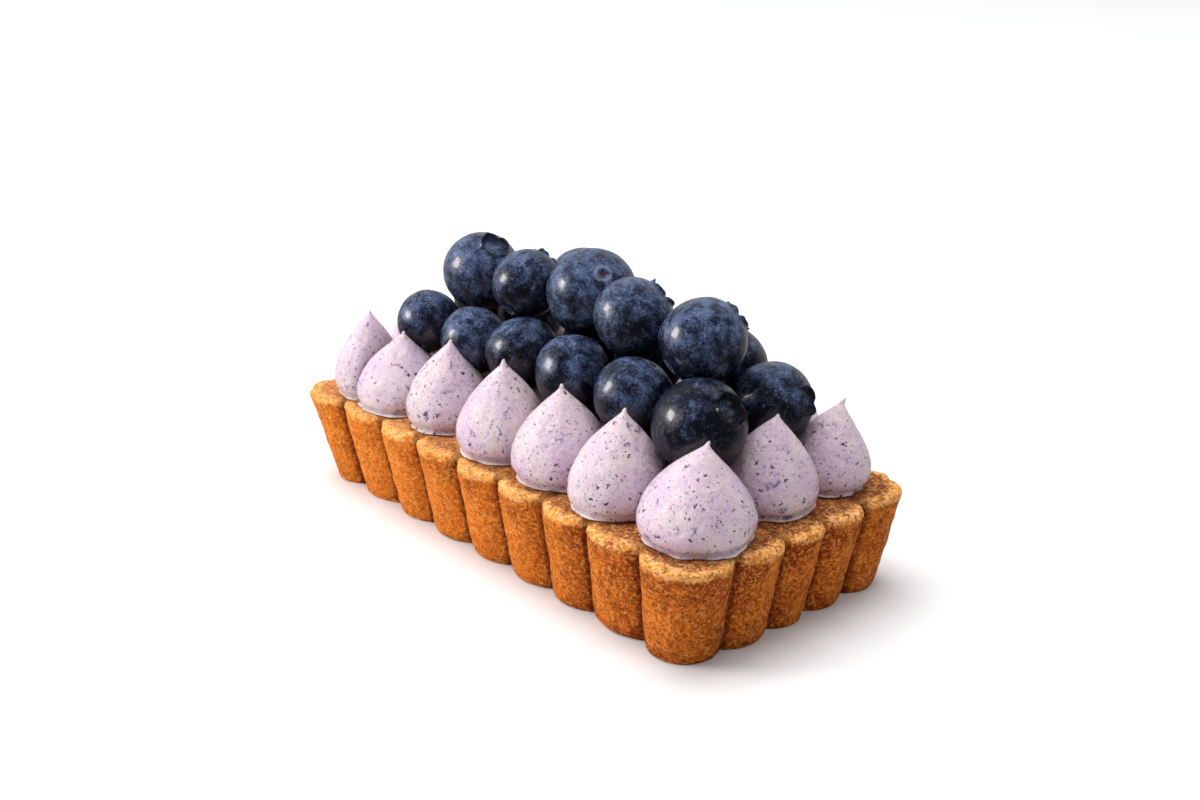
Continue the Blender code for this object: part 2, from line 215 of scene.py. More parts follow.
def baked_surface(grid, share, which):
    """The rings pushed out along their normals by noise of four sizes, and in where broader noise crumbles
    the foot and the rim away. The underside stays flat. Also gives the marks: 1 in a groove, where shade is
    painted, 1 on the rim, 1 on top, and a smooth rise along each flute that is painted shade on the side of
    the flute that the light does not reach. On the shown sides it rises towards the near corner and on the
    hidden ones towards the back corner across from it."""
    outwards = grid_normals(grid)
    on_top = smooth_step(0.55, 0.98, outwards[:, :, 2])
    groove = 1.0 - smooth_step(0.0, 0.09, np.minimum(share, 1.0 - share))
    by_rim = 1.0 - smooth_step(0.0, 5.0, np.arange(len(grid)) - FIRST_TOP_RING)[:, None]
    rim = smooth_step(CRUST_HEIGHT - 1.9 * MM, CRUST_HEIGHT - 1.2 * MM, grid[:, :, 2]) * by_rim
    uneven = sum(depth * blended_noise(grid, size, seed) for size, depth, seed in CRUST_UNEVEN) - CRUST_SHRUNK
    crumbled = CRUMBLE_DEPTH * np.maximum(blended_noise(grid, CRUMBLE_SIZE, 4) + 0.05, 0.0)
    low = 1.0 - smooth_step(0.3 * MM, 2.2 * MM, grid[:, :, 2])
    lifted = smooth_step(0.0, 0.6 * MM, grid[:, :, 2])
    grid = grid + outwards * ((uneven - crumbled * (1.6 * low + 0.9 * rim)) * lifted)[:, :, None]
    grid[:, :, 2] = np.maximum(grid[:, :, 2], 0.0)
    half_count = len(LONG_GROOVE_X) + len(SHORT_GROOVE_Y)
    number = which % half_count
    on_short_side = (number >= len(LONG_GROOVE_X)) & (number < half_count - 1)
    # Painted shade on the side of each flute that the light does not reach.
    flute_side_shade = smooth_step(0.35, 1.0, np.where(on_short_side, 1.0 - share, share))
    return grid, {"groove": groove, "rim": rim, "top": on_top, "flute_side_shade": flute_side_shade}


class Wire:
    """A node's output in a sum. Each operator adds the Math node that works it out and gives its wire."""

    def __init__(self, tree, socket):
        self.tree = tree
        self.socket = socket

    def also(self, output):
        """Another output of the same node."""
        return Wire(self.tree, self.socket.node.outputs[output])

    def maths(self, operation, first, second=0.0, clamp=False):
        """Adds a Math node that takes two values or wires."""
        node = self.tree.nodes.new("ShaderNodeMath")
        node.operation = operation
        node.use_clamp = clamp
        for number, value in enumerate((first, second)):
            if isinstance(value, Wire):
                self.tree.links.new(value.socket, node.inputs[number])
            else:
                node.inputs[number].default_value = value
        return Wire(self.tree, node.outputs[0])

    def __add__(self, other):
        return self.maths("ADD", self, other)

    def __radd__(self, other):
        return self.maths("ADD", other, self)

    def __sub__(self, other):
        return self.maths("SUBTRACT", self, other)

    def __rsub__(self, other):
        return self.maths("SUBTRACT", other, self)

    def __mul__(self, other):
        return self.maths("MULTIPLY", self, other)

    def __rmul__(self, other):
        return self.maths("MULTIPLY", other, self)

    def __abs__(self):
        return self.maths("ABSOLUTE", self)

    def larger(self, other):
        """The larger of two values at each place."""
        return self.maths("MAXIMUM", self, other)

    def between(self, low, high):
        """0 below low, 1 above high and a straight run between them."""
        return self.maths("MULTIPLY", self - low, 1.0 / (high - low), clamp=True)


class Nodes:
    """The nodes of a finish or of the room round the tart. node() adds any node but a Math node."""

    def __init__(self, tree):
        self.tree = tree

    def node(self, kind, settings=None, sockets=None, output=0):
        """Adds a node: its type, its settings, which are set first, and its sockets' values or wires."""
        node = self.tree.nodes.new(kind)
        for key, value in (settings or {}).items():
            setattr(node, key, value)
        for key, value in (sockets or {}).items():
            self.give(node.inputs[key], value)
        return Wire(self.tree, node.outputs[output])

    def give(self, socket, value):
        """Sets a socket, or links it if the value is a wire."""
        if isinstance(value, Wire):
            self.tree.links.new(value.socket, socket)
        elif isinstance(value, tuple) and len(value) == 3 and socket.type == "RGBA":
            socket.default_value = (*value, 1.0)
        else:
            socket.default_value = value


class Finish(Nodes):
    """A material being made, in colours of linear red, green and blue. surface() joins up the result."""

    def __init__(self, name):
        self.material = bpy.data.materials.new(name)
        self.material.use_nodes = True
        super().__init__(self.material.node_tree)
        self.shader = self.tree.nodes["Principled BSDF"]
        self.outermost = Wire(self.tree, self.shader.outputs[0])
        self.place = self.node("ShaderNodeTexCoord", output="Object")

    def moved(self, seed):
        """The place on the piece moved by the seed along each axis, so that patterns don't coincide."""
        return self.node("ShaderNodeVectorMath", {"operation": "ADD"}, {0: self.place, 1: (seed, seed, seed)})

    def noise(self, size, detail=2.0, roughness=0.5, seed=0.0):
        """Soft noise from about 0.2 to 0.8 whose patches measure about the given size."""
        sockets = {"Vector": self.moved(seed), "Scale": 1.0 / size, "Detail": detail, "Roughness": roughness}
        return self.node("ShaderNodeTexNoise", None, sockets)

    def spots(self, size, bend, seed=0.0):
        """How far each place is from the nearest of many scattered points, in shares of the spacing, and a
        random number for that point. Bend pulls the spots out of round."""
        sockets = {"Vector": self.place, "Scale": 2.2 / size, "Detail": 1.0}
        stir = self.node("ShaderNodeTexNoise", None, sockets, output="Color")
        sockets = {0: stir, 1: (bend * size,) * 3, 2: self.moved(seed)}
        stirred = self.node("ShaderNodeVectorMath", {"operation": "MULTIPLY_ADD"}, sockets)
        sockets = {"Vector": stirred, "Scale": 1.0 / size}
        distance = self.node("ShaderNodeTexVoronoi", None, sockets, output="Distance")
        number = self.node("ShaderNodeSeparateColor", None, {0: distance.also("Color")})
        return distance, number

    def mark(self, name):
        """A value that the mesh carries at each vertex."""
        return self.node("ShaderNodeAttribute", {"attribute_name": name}, output="Fac")

    def mix(self, share, first, second):
        """The first colour where share is 0 and the second where it is 1."""
        sockets = {"Factor": share, 6: first, 7: second}
        return self.node("ShaderNodeMix", {"data_type": "RGBA"}, sockets, output=2)

    def bump(self, height, distance, strength=1.0):
        """The normal of a surface raised by height times distance."""
        sockets = {"Height": height, "Distance": distance, "Strength": strength}
        return self.node("ShaderNodeBump", None, sockets)

    def over(self, share, colour, roughness):
        """Lays a plain coloured layer over all the layers so far where share is 1."""
        layer = self.node("ShaderNodeBsdfPrincipled", None, {"Base Color": colour, "Roughness": roughness})
        self.outermost = self.node("ShaderNodeMixShader", None, {0: share, 1: self.outermost, 2: layer})
        self.give(self.tree.nodes["Material Output"].inputs[0], self.outermost)

    def surface(self, colour, roughness, normal=None, **others):
        """Gives the shader its colour, roughness and normal, and what its other sockets take."""
        self.give(self.shader.inputs["Base Color"], colour)
        self.give(self.shader.inputs["Roughness"], roughness)
        if normal is not None:
            self.give(self.shader.inputs["Normal"], normal)
        for key, value in others.items():
            self.give(self.shader.inputs[key.replace("_", " ")], value)
        return self.material


CRUST_GOLD = (1.000, 0.250, 0.014)
CRUST_BROWN = (0.400, 0.052, 0.002)
CRUST_PALE = (1.000, 0.460, 0.095)
CRUST_TOP = (0.780, 0.310, 0.110)
CRUST_TOP_DARK = (0.400, 0.120, 0.042)
CRUST_FLOUR = (0.900, 0.600, 0.420)
# Dark pits, also used for the painted shade in the grooves.
CRUST_PIT_AND_GROOVE_SHADE = (0.110, 0.020, 0.003)
baked = Finish("baked_shortcrust")
# The groove mark carries painted shade in the grooves.
groove_shade = baked.mark("groove")
on_rim = baked.mark("rim")
patches = baked.noise(5.0 * MM, 3.0)
grain = baked.noise(0.68 * MM, 4.0, 0.78)
crumb = baked.noise(1.6 * MM, 2.0, 0.6, seed=0.3)
crystal = baked.spots(0.40 * MM, seed=0.5, bend=0.9)[1]
pit_distance, pit_number = baked.spots(0.9 * MM, bend=0.9)
pits = (1.0 - pit_distance.between(0.14, 0.30)) * pit_number.between(0.30, 0.60)
height = baked.node("ShaderNodeSeparateXYZ", None, {0: baked.place}, output="Z")
# The wall is browner in patches under the rim. It is darker towards the right end and at the foot, partly
# from browning and partly as painted shade, and painted shade darkens the grooves and one side of each flute.
hot_and_shaded_end = height.also("X").between(-25.0 * MM, 60.0 * MM)
under_rim = height.between(12.0 * MM, 16.0 * MM) * patches.between(0.34, 0.58)
# Painted contact shade, with some browning, darkens the foot.
foot = 1.0 - height.between(0.0, 2.0 * MM)
toast_and_shade = hot_and_shaded_end * 0.70 + baked.mark("flute_side_shade") * 0.36 + under_rim * 0.38 + foot * 0.40 + groove_shade * 0.80
toast_and_shade = toast_and_shade + (grain - 0.5) * (1.0 + hot_and_shaded_end * 0.6) + (crumb - 0.5) * 1.1
toast_and_shade = toast_and_shade + (patches - 0.5) + (crystal - 0.5) * 0.5 - 0.23
wall_colour = baked.mix(toast_and_shade.between(0.0, 1.0), CRUST_GOLD, CRUST_BROWN)
# The top is toasted in the same way, darker towards the right end partly as painted shade of the kisses,
# and dusted with loose crumbs.
top_toast_and_shade = (patches - 0.5) * 1.8 + (crumb - 0.5) * 2.2 + (grain - 0.5) * 2.0 + (crystal - 0.5) * 0.3
top_toast_and_shade = top_toast_and_shade + 0.34 + hot_and_shaded_end * 1.25
top_colour = baked.mix(top_toast_and_shade.between(0.0, 1.0), CRUST_TOP, CRUST_TOP_DARK)
flour = crumb.between(0.50, 0.64) * crystal.between(0.30, 0.80)
top_colour = baked.mix(flour * 0.55, top_colour, CRUST_FLOUR)
colour = baked.mix(baked.mark("top"), wall_colour, top_colour)
# The rim is paler and sandy, and light grains and dark holes are scattered over all of it.
rim_crumbs = on_rim * (crumb.between(0.36, 0.54) * 0.62 + crystal * 0.45)
colour = baked.mix(rim_crumbs, colour, CRUST_PALE)
colour = baked.mix(on_rim * crystal.between(0.58, 0.82) * 0.65, colour, CRUST_FLOUR)
glints = crystal.between(0.52, 0.74) * (1.0 - grain.between(0.46, 0.60))
colour = baked.mix(glints * (0.78 - hot_and_shaded_end * 0.22), colour, CRUST_PALE)
holes = (1.0 - crystal.between(0.10, 0.32)) * grain.between(0.42, 0.56)
dark = (holes * 0.45).larger(pits * 0.70) * (1.0 - on_rim * 0.6) * (0.42 + hot_and_shaded_end * 0.65)
# The grooves get painted shade in the pits' dark colour.
colour = baked.mix(dark.larger(groove_shade * 0.66), colour, CRUST_PIT_AND_GROOVE_SHADE)
relief = crystal * 0.35 - grain * 1.4 + crumb * 0.8 - holes.larger(pits) * 0.8
crust_normal = baked.bump(relief * (1.0 - on_rim * 0.4), 0.55 * MM)

crust = closed_piece("baked_crust", *baked_surface(*crust_grid()))
crust.data.materials.append(baked.surface(colour, 0.75, crust_normal, Specular_IOR_Level=0.15))
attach(crust, "root")
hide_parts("crust")

# Cream kisses.
# Whipped cream coloured with crushed blueberries, piped from a plain round nozzle that was pressed down and
# then drawn straight up, so each is a bulb that ends in a point. They stick to the crust and to each other.

# From the far left of the front round the edge: middle x and y, widest radius, height of the tip above the
# crust, how far the tip leans in x and y, and the height of the nib, in millimetres.
KISSES = (
    (-44.9, -18.0, 7.2, 17.2, 0.3, 0.3, 0.4),
    (-35.2, -17.0, 9.0, 14.9, 0.5, 0.6, 0.5),
    (-20.8, -16.0, 8.3, 16.7, 0.7, 0.5, 0.5),
    (-2.6, -16.8, 8.7, 17.7, 0.4, 0.2, 0.7),
    (13.2, -16.0, 9.2, 17.1, 0.1, 0.1, 0.65),
    (29.0, -16.6, 8.8, 17.3, 0.5, 0.9, 0.6),
    (46.4, -15.4, 9.8, 16.2, 0.6, 1.9, 0.55),
    (45.7, 2.5, 8.4, 16.7, 1.4, 0.0, 0.4),
    (46.2, 16.8, 7.5, 15.6, 1.4, 2.3, 0.7),
    (34.8, 17.5, 8.6, 16.7, 0.5, 0.9, 0.6),
    (17.5, 17.4, 8.4, 16.9, 0.6, -0.5, 0.5),
    (1.2, 17.2, 8.3, 17.2, -0.8, 0.3, 0.7),
    (-15.0, 17.5, 8.1, 16.3, 0.4, 0.7, 0.5),
    (-31.2, 17.3, 8.2, 16.8, -0.6, 0.5, 0.6),
    (-46.0, 16.6, 7.8, 16.5, 0.7, -0.4, 0.7),
    (-49.2, -1.0, 8.7, 16.9, -0.9, 0.1, 0.5),
)
# The blueberries that press into them, the front row, the back row from the right, then the upper layer:
# middle x and y, height of the middle above the crust and diameter in millimetres, the way the crown points
# as a turn from +X and a rise in degrees, and the length from crown to stem end as a share of the diameter.
BERRIES = (
    (-36.2, -9.4, 15.2, 12.6, -70, -50, 0.95),
    (-22.1, -8.6, 14.5, 13.1, -70, -50, 0.96),
    (-8.6, -7.4, 15.4, 13.7, 30, -65, 0.91),
    (6.9, -8.0, 15.5, 13.6, -30, -60, 0.98),
    (22.5, -7.6, 15.4, 14.0, -130, -60, 0.94),
    (39.1, -7.8, 14.9, 15.8, 7, 36, 0.97),
    (39.2, 9.8, 14.8, 14.0, 14, 14, 0.97),
    (24.9, 12.9, 16.5, 15.1, 120, 5, 0.93),
    (10.0, 7.9, 15.5, 13.8, 70, 5, 0.93),
    (-4.0, 7.0, 15.0, 13.2, 125, 30, 0.93),
    (-26.4, 9.0, 15.1, 13.8, 65, 35, 0.93),
    (-40.0, 7.7, 15.4, 13.2, 120, 5, 0.93),
    (-29.4, -0.9, 25.4, 15.3, 3, 55, 0.95),
    (-13.2, -2.3, 26.6, 13.2, 93, 42, 0.96),
    (1.4, 1.4, 27.4, 16.8, 159, -42, 0.91),
    (16.3, -1.9, 26.8, 14.6, 66, 37, 0.92),
    (31.1, 0.7, 25.7, 15.0, 68, 32, 0.96),
    (-13.5, 12.0, 23.8, 14.1, 135, 30, 0.93),
)
KISS_WIDEST_LEVEL = 0.21
KISS_BASE_SHARE = 0.80
KISS_BASE_CURVE = 2.2
KISS_FULLNESS = 1.81
KISS_TIP_CURVE = 1.056
LEAN_CURVE = 4.5
# In millimetres, as in the table.
NIB_RADIUS = 0.45
HEAP_HALF_LENGTH = 38.0
# How much of its own radius the nib loses towards its end.
NIB_TAPER = 0.35
# In shares of a kiss's widest radius: how far the neck over the base draws in and the lip round it runs out.
NECK_DEPTH = 0.030
LIP_REACH = 0.085
CREASE = 0.80 * MM
# How far the foot of the cream lies under the crust's level top, so that no gap shows between them.
SUNK = 0.25 * MM
# A berry's skin lies at about this share of half its diameter, and the cream this far off it.
SKIN_SHARE = 0.985
HOLLOW_ROOM = 0.15 * MM
# The kisses from this one on are those of the back row and the left end, whose sides facing the heap get
# painted shade.
FIRST_BACK_KISS = 9
KISS_TURN_STEPS = 128
KISS_BASE_RINGS = 5


def hump(value, middle, width):
    """1 at the middle and falling away to both sides as exp(-((value - middle) / width)^2)."""
    return np.exp(-((value - middle) / width) ** 2)


def pressed_in(points):
    """Points inside a berry, or too near it, move straight out from its middle to just off its skin."""
    for x, y, height, diameter in [row[:4] for row in BERRIES]:
        centre = np.array((x * MM, y * MM, CRUST_HEIGHT + height * MM))
        away = points - centre
        distance = np.linalg.norm(away, axis=-1, keepdims=True)
        hollow = diameter / 2.0 * MM * SKIN_SHARE + HOLLOW_ROOM
        points = np.where(distance < hollow, centre + away * hollow / distance, points)
    return points


def painted_heap_shade(points):
    """Painted shade near the berries: 1 up to 2 mm from a berry, falling smoothly to 0 at 7 mm from it."""
    nearest = np.full(points.shape[:-1], np.inf)
    for x, y, height, diameter in [row[:4] for row in BERRIES]:
        centre = np.array((x * MM, y * MM, CRUST_HEIGHT + height * MM))
        nearest = np.minimum(nearest, np.linalg.norm(points - centre, axis=-1) - diameter / 2.0 * MM)
    return 1.0 - smooth_step(2.0 * MM, 7.0 * MM, nearest)


def kiss_outline(level, radius, height, nib):
    """A kiss's radius at each level as a share of its widest. Above its widest level the bulb's is
    (1 - t^1.81)^1.06, where t runs from there to its top, and below it draws in to the base. The nib is a
    short round-ended rod that thins towards its end, and the root of the sum of the two radii's squares joins
    them. A slight neck runs round just above the base."""
    bulb = level * height / (height - nib)
    above = np.clip((bulb - KISS_WIDEST_LEVEL) / (1.0 - KISS_WIDEST_LEVEL), 0.0, 1.0)
    below = np.clip((KISS_WIDEST_LEVEL - bulb) / KISS_WIDEST_LEVEL, 0.0, 1.0)
    share = np.where(bulb > KISS_WIDEST_LEVEL, (1.0 - above ** KISS_FULLNESS) ** KISS_TIP_CURVE,
                     1.0 - (1.0 - KISS_BASE_SHARE) * below ** KISS_BASE_CURVE)
    round_end = np.clip(1.0 - (1.0 - level) * height / NIB_RADIUS, 0.0, 1.0)
    taper = 1.0 - NIB_TAPER * smooth_step(0.93, 1.0, level)
    rod = NIB_RADIUS / radius * np.sqrt(1.0 - round_end ** 2) * taper
    return np.sqrt(share ** 2 + rod ** 2) - NECK_DEPTH * hump(level, 0.075, 0.022)


def flattened(plan, number):
    """Pushes a kiss back from its neighbours. Where one is near, the distance d to the plane between the two
    becomes (d + sqrt(d^2 + c^2)) / 2, which flattens the kiss and keeps a crease of c."""
    x, y, radius = KISSES[number][:3]
    for step in (-1, 1):
        other_x, other_y, other_radius = KISSES[(number + step) % len(KISSES)][:3]
        way = np.array((other_x - x, other_y - y)) * MM
        distance = np.linalg.norm(way)
        if distance < (radius + other_radius) * MM:
            way = way / distance
            middle = (distance ** 2 + (radius * MM) ** 2 - (other_radius * MM) ** 2) / (2.0 * distance)
            room = middle - plan @ way
            kept = (room + np.sqrt(room ** 2 + CREASE ** 2)) / 2.0
            plan = plan + (room - kept)[..., None] * way
    return plan


def kiss_grid(number):
    """The outline turned round, made uneven by noise of three sizes, with streaks drawn upwards near the tip
    and a thin ragged lip round the base. The height to the power 4.5 leans it over, its neighbours flatten it
    and berries press hollows into it. Also gives the marks: the lip, where light is painted, a fall from 1 at
    the base to 0 half way up, and painted shade near the berries on the side that faces the heap."""
    x, y, radius, height, lean_x, lean_y, nib = KISSES[number]
    level = np.concatenate((1.0 - 0.06 * np.linspace(0.0, 1.0, 16) ** 1.6, np.linspace(0.928, 0.10, 50),
                            np.linspace(0.09, 0.0, 14), np.zeros(KISS_BASE_RINGS)))
    inward = np.concatenate((np.ones(len(level) - KISS_BASE_RINGS), np.linspace(0.85, 0.0, KISS_BASE_RINGS)))
    turn = np.linspace(0.0, 2.0 * np.pi, KISS_TURN_STEPS, endpoint=False)
    around = np.stack((np.cos(turn), np.sin(turn)), axis=-1)
    size = (len(level), KISS_TURN_STEPS)
    spot = np.concatenate((np.broadcast_to(around, (*size, 2)),
                           np.broadcast_to(level[:, None, None], (*size, 1))), axis=-1)
    uneven = (0.030 * blended_noise(spot + number, 0.9, 5)
              + 0.015 * blended_noise(spot * (1.0, 1.0, 0.3), 0.22, number + 7)
              + 0.012 * blended_noise(spot * (1.0, 1.0, 1.6), 0.12, number + 9))
    near_tip = smooth_step(0.5, 0.9, level)[:, None]
    streaks = 0.040 * near_tip * blended_noise(spot * (1.0, 1.0, 0.12), 0.30, number + 20)
    lip = hump(level, 0.020, 0.016) * (inward == 1.0)
    ragged = 0.8 + 0.6 * blended_noise(spot * (1.0, 1.0, 0.0), 0.28, number + 40)
    ragged = ragged + 0.6 * blended_noise(spot * (1.0, 1.0, 0.0), 0.8, number + 50)
    across = kiss_outline(level, radius, height, nib)[:, None] * (1.0 + uneven + streaks)
    across = across + LIP_REACH * lip[:, None] * ragged
    across = radius * MM * inward[:, None] * across
    across[0] = 0.0
    lean = (level ** LEAN_CURVE)[:, None, None] * np.array((lean_x, lean_y)) * MM
    plan = flattened(across[:, :, None] * around + lean, number)
    rise = CRUST_HEIGHT - SUNK + level * (height * MM + SUNK)
    rise = np.broadcast_to(rise[:, None, None], (*size, 1))
    points = pressed_in(np.concatenate((plan + np.array((x, y)) * MM, rise), axis=-1))
    points[-1] = points[-1].mean(axis=0)
    heap = np.array((np.clip(x, -HEAP_HALF_LENGTH, HEAP_HALF_LENGTH) - x, -y))
    facing = around @ (heap / np.linalg.norm(heap))
    inner = smooth_step(-0.3, 0.3, facing) * (1.0 - smooth_step(0.60, 0.85, level))[:, None]
    painted_shade = painted_heap_shade(points) * inner * (number >= FIRST_BACK_KISS)
    edge = lip[:, None] * np.clip(ragged, 0.0, 1.0)
    low = np.broadcast_to((1.0 - smooth_step(0.05, 0.45, level))[:, None], size)
    return points, {"lip": edge, "low": low, "painted_shade": painted_shade}


CREAM = (0.675, 0.562, 0.598)
CREAM_LILAC = (0.600, 0.455, 0.600)
CREAM_VIOLET = (0.230, 0.170, 0.370)
# A pale cream for the bubbles, also used as painted light on the lip.
CREAM_PALE_AND_LIP_LIGHT = (0.920, 0.800, 0.820)
# A dark violet for painted shade between the berries.
CREAM_PAINTED_SHADE = (0.060, 0.030, 0.090)
SPECK = (0.022, 0.009, 0.030)
BLOT = (0.085, 0.050, 0.200)
cream = Finish("blueberry_whipped_cream")
lip_light = cream.mark("lip")
low_down = cream.mark("low")
drift = cream.noise(6.0 * MM, 3.0)
silk = cream.noise(0.35 * MM, 3.0, 0.7)
swirl = cream.noise(1.8 * MM, 2.0, 0.6, seed=0.6)
colour = cream.mix(drift.between(0.40, 0.60) * 0.85, CREAM, CREAM_LILAC)
# Painted light on the lip round the base.
colour = cream.mix(lip_light, colour, CREAM_PALE_AND_LIP_LIGHT)
# Crushed fruit leaves violet smears in the cream and a violet halo round its scraps of skin.
smear_distance, smear_number = cream.spots(3.6 * MM, bend=0.9)
smears = (1.0 - smear_distance.between(0.08, 0.30)) * smear_number.between(0.20, 0.50)
smears = smears * cream.noise(0.9 * MM, 2.0).between(0.36, 0.56)
colour = cream.mix(smears * 0.40, colour, CREAM_VIOLET)
halo_distance, halo_number = cream.spots(1.5 * MM, seed=0.23, bend=0.7)
halo = (1.0 - halo_distance.between(0.14, 0.34)) * (halo_number + low_down * 0.25).between(0.40, 0.70)
colour = cream.mix(halo * 0.42, colour, CREAM_VIOLET)
# Painted shade on the back kisses' sides that face the heap.
colour = cream.mix(cream.mark("painted_shade") * 0.85, colour, CREAM_PAINTED_SHADE)
# On it lie fine specks, flakes that are more frequent low down, blots of juice and pale bubbles, and the lip
# is lightened with painted light.
fine_distance, fine_number = cream.spots(0.85 * MM, seed=0.11, bend=0.6)
fine = (1.0 - fine_distance.between(0.14, 0.25)) * (fine_number * 0.80 + 0.20)
flake_distance, flake_number = cream.spots(1.6 * MM, seed=0.37, bend=0.9)
flakes = (1.0 - flake_distance.between(0.15, 0.24)) * (flake_number + low_down * 0.35).between(0.48, 0.58)
specks = fine.larger(flakes)
blot_distance, blot_number = cream.spots(4.2 * MM, seed=0.91, bend=0.9)
blots = (1.0 - blot_distance.between(0.10, 0.20)) * blot_number.between(0.15, 0.25)
bubble_distance, bubble_number = cream.spots(0.42 * MM, seed=0.71, bend=0.5)
bubbles = (1.0 - bubble_distance.between(0.20, 0.45)) * bubble_number.between(0.2, 1.0)
cream.over((bubbles * 0.40).larger(lip_light * 0.85), CREAM_PALE_AND_LIP_LIGHT, 0.30)
cream.over(blots * silk.between(0.38, 0.52) * 0.85, BLOT, 0.40)
cream.over(specks * 0.92, SPECK, 0.40)
cream_normal = cream.bump(silk * 0.75 + swirl * 2.4 - specks * 0.15, 0.32 * MM)
cream_material = cream.surface(colour, 0.26, cream_normal, Specular_IOR_Level=0.70, Subsurface_Weight=0.50,
                               Subsurface_Scale=0.0050, Subsurface_Radius=(1.0, 0.8, 0.9))
for number in range(len(KISSES)):
    kiss = closed_piece("cream_kiss_%02d" % (number + 1), *kiss_grid(number))
    kiss.data.materials.append(cream_material)
    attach(kiss, "root")
    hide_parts("kiss_%02d" % (number + 1))

# Cream bed.
# The same cream spread over the middle of the crust, which the heap of berries lies in. Almost all of it is
# hidden under them, and it is painted almost black as the shade under them.

BED_HALF_LENGTH = 37.5 * MM
BED_HALF_WIDTH = 6.3 * MM
BED_HEIGHT = 11.5 * MM
# The share of its length and width that the mound fills, which leaves room for its unevenness.
BED_FILL = 0.98
BED_TOP_RINGS = 60
BED_BASE_RINGS = 8
BED_TURN_STEPS = 240


def bed_grid():
    """A flattened mound: each ring is the oblong |x/a|^4 + |y/b|^4 = 1 times a share s that runs from 0 at
    the crown to 1 at the edge, and the height there is (1 - s^4)^0.5 of the whole. The rings then shrink
    again across the flat base. The berries press hollows into the top."""
    turn = np.linspace(0.0, 2.0 * np.pi, BED_TURN_STEPS, endpoint=False)
    oblong = (np.abs(np.cos(turn)) ** 4 + np.abs(np.sin(turn)) ** 4) ** -0.25
    out = np.linspace(0.0, 1.0, BED_TOP_RINGS)
    share = np.concatenate((out, np.linspace(0.96, 0.0, BED_BASE_RINGS)))[:, None]
    rise = np.concatenate(((1.0 - out ** 4) ** 0.5, np.zeros(BED_BASE_RINGS)))[:, None]
    x = BED_HALF_LENGTH * BED_FILL * share * oblong * np.cos(turn)
    y = BED_HALF_WIDTH * BED_FILL * share * oblong * np.sin(turn)
    z = CRUST_HEIGHT - SUNK + BED_HEIGHT * rise * np.ones_like(turn)
    points = np.stack((x, y, z), axis=-1)
    points[:, :, 2] += 0.3 * MM * blended_noise(points, 5.0 * MM, 9) * rise
    return pressed_in(points)


# Near-black colours painted as the shade under the heap.
BED_PAINTED_SHADE = (0.020, 0.008, 0.018)
BED_PAINTED_SHADE_PALE = (0.050, 0.022, 0.042)
bed_shade_finish = Finish("cream_painted_as_shade")
painted_shade = bed_shade_finish.mix(bed_shade_finish.noise(3.0 * MM, 3.0).between(0.35, 0.65), BED_PAINTED_SHADE, BED_PAINTED_SHADE_PALE)
bed = closed_piece("cream_under_the_heap", bed_grid())
bed.data.materials.append(bed_shade_finish.surface(painted_shade, 0.45, Specular_IOR_Level=0.40))
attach(bed, "root")
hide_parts("cream_bed")

# Blueberries.
# Fresh fruit with a dark skin under a thin wax bloom that handling has rubbed off in patches. One end has
# the five-pointed crown left by the flower and the other the small scar of the stalk. They are piled loose.

CROWN_RADIUS = 0.335
CROWN_LOBES = 5
# How far each berry's crown is turned past that of the one before, in radians.
CROWN_SPIN = 1.7
# Outline of a berry of radius 1 from the middle of the crown round to the stem end.
BERRY_RADII = (0.0, 0.10, 0.19, 0.245, 0.285, 0.325, 0.365, 0.42, 0.51, 0.63, 0.77, 0.87, 0.945, 0.99, 0.995,
               0.965, 0.90, 0.79, 0.64, 0.46, 0.32, 0.23, 0.17, 0.12, 0.07, 0.035, 0.0)
BERRY_HEIGHTS = (0.765, 0.765, 0.77, 0.80, 0.86, 0.90, 0.895, 0.865, 0.82, 0.745, 0.615, 0.475, 0.315, 0.14,
                 -0.06, -0.26, -0.43, -0.60, -0.735, -0.835, -0.88, -0.90, -0.912, -0.905, -0.88, -0.865,
                 -0.86)
BERRY_OUTLINE_LENGTH = 0.90
# The outline's points at which the crown ends and the stem end starts.
CROWN_END = 8
STEM_START = 20
BERRY_TURN_STEPS = 120
# How much bloom each berry still has, the upper layer more than the lower one, and how much more of it is
# put on top than at the middle as painted light from above.
DUSTING = (0.34, 0.68, 0.42, 0.48, 0.44, 0.06, 0.38, 0.20, 0.28,
           0.32, 0.26, 0.36, 0.90, 0.54, 0.68, 0.54, 0.62, 0.45)
PAINTED_TOP_LIGHT = 0.56


def berry_outline(stretch):
    """The outline stretched to the berry's length and resampled finely along its own length by cubic curves
    that keep its slopes, closest together at the crown and the stem end."""
    outline = np.stack((BERRY_RADII, np.array(BERRY_HEIGHTS) * stretch / BERRY_OUTLINE_LENGTH), axis=-1)
    length = np.concatenate(([0.0], np.cumsum(np.linalg.norm(np.diff(outline, axis=0), axis=1))))
    fine = np.concatenate((np.linspace(0.0, length[CROWN_END], 34),
                           np.linspace(length[CROWN_END], length[STEM_START], 46)[1:],
                           np.linspace(length[STEM_START], length[-1], 20)[1:]))
    slopes = np.gradient(outline, length, axis=0)
    part = np.clip(np.searchsorted(length, fine, side="right") - 1, 0, len(length) - 2)
    step = (length[part + 1] - length[part])[:, None]
    t = ((fine - length[part]) / (length[part + 1] - length[part]))[:, None]
    profile = ((2 * t ** 3 - 3 * t ** 2 + 1) * outline[part] + (t ** 3 - 2 * t ** 2 + t) * step * slopes[part]
               + (3 * t ** 2 - 2 * t ** 3) * outline[part + 1] + (t ** 3 - t ** 2) * step * slopes[part + 1])
    profile[0, 0] = 0.0
    profile[-1, 0] = 0.0
    return profile


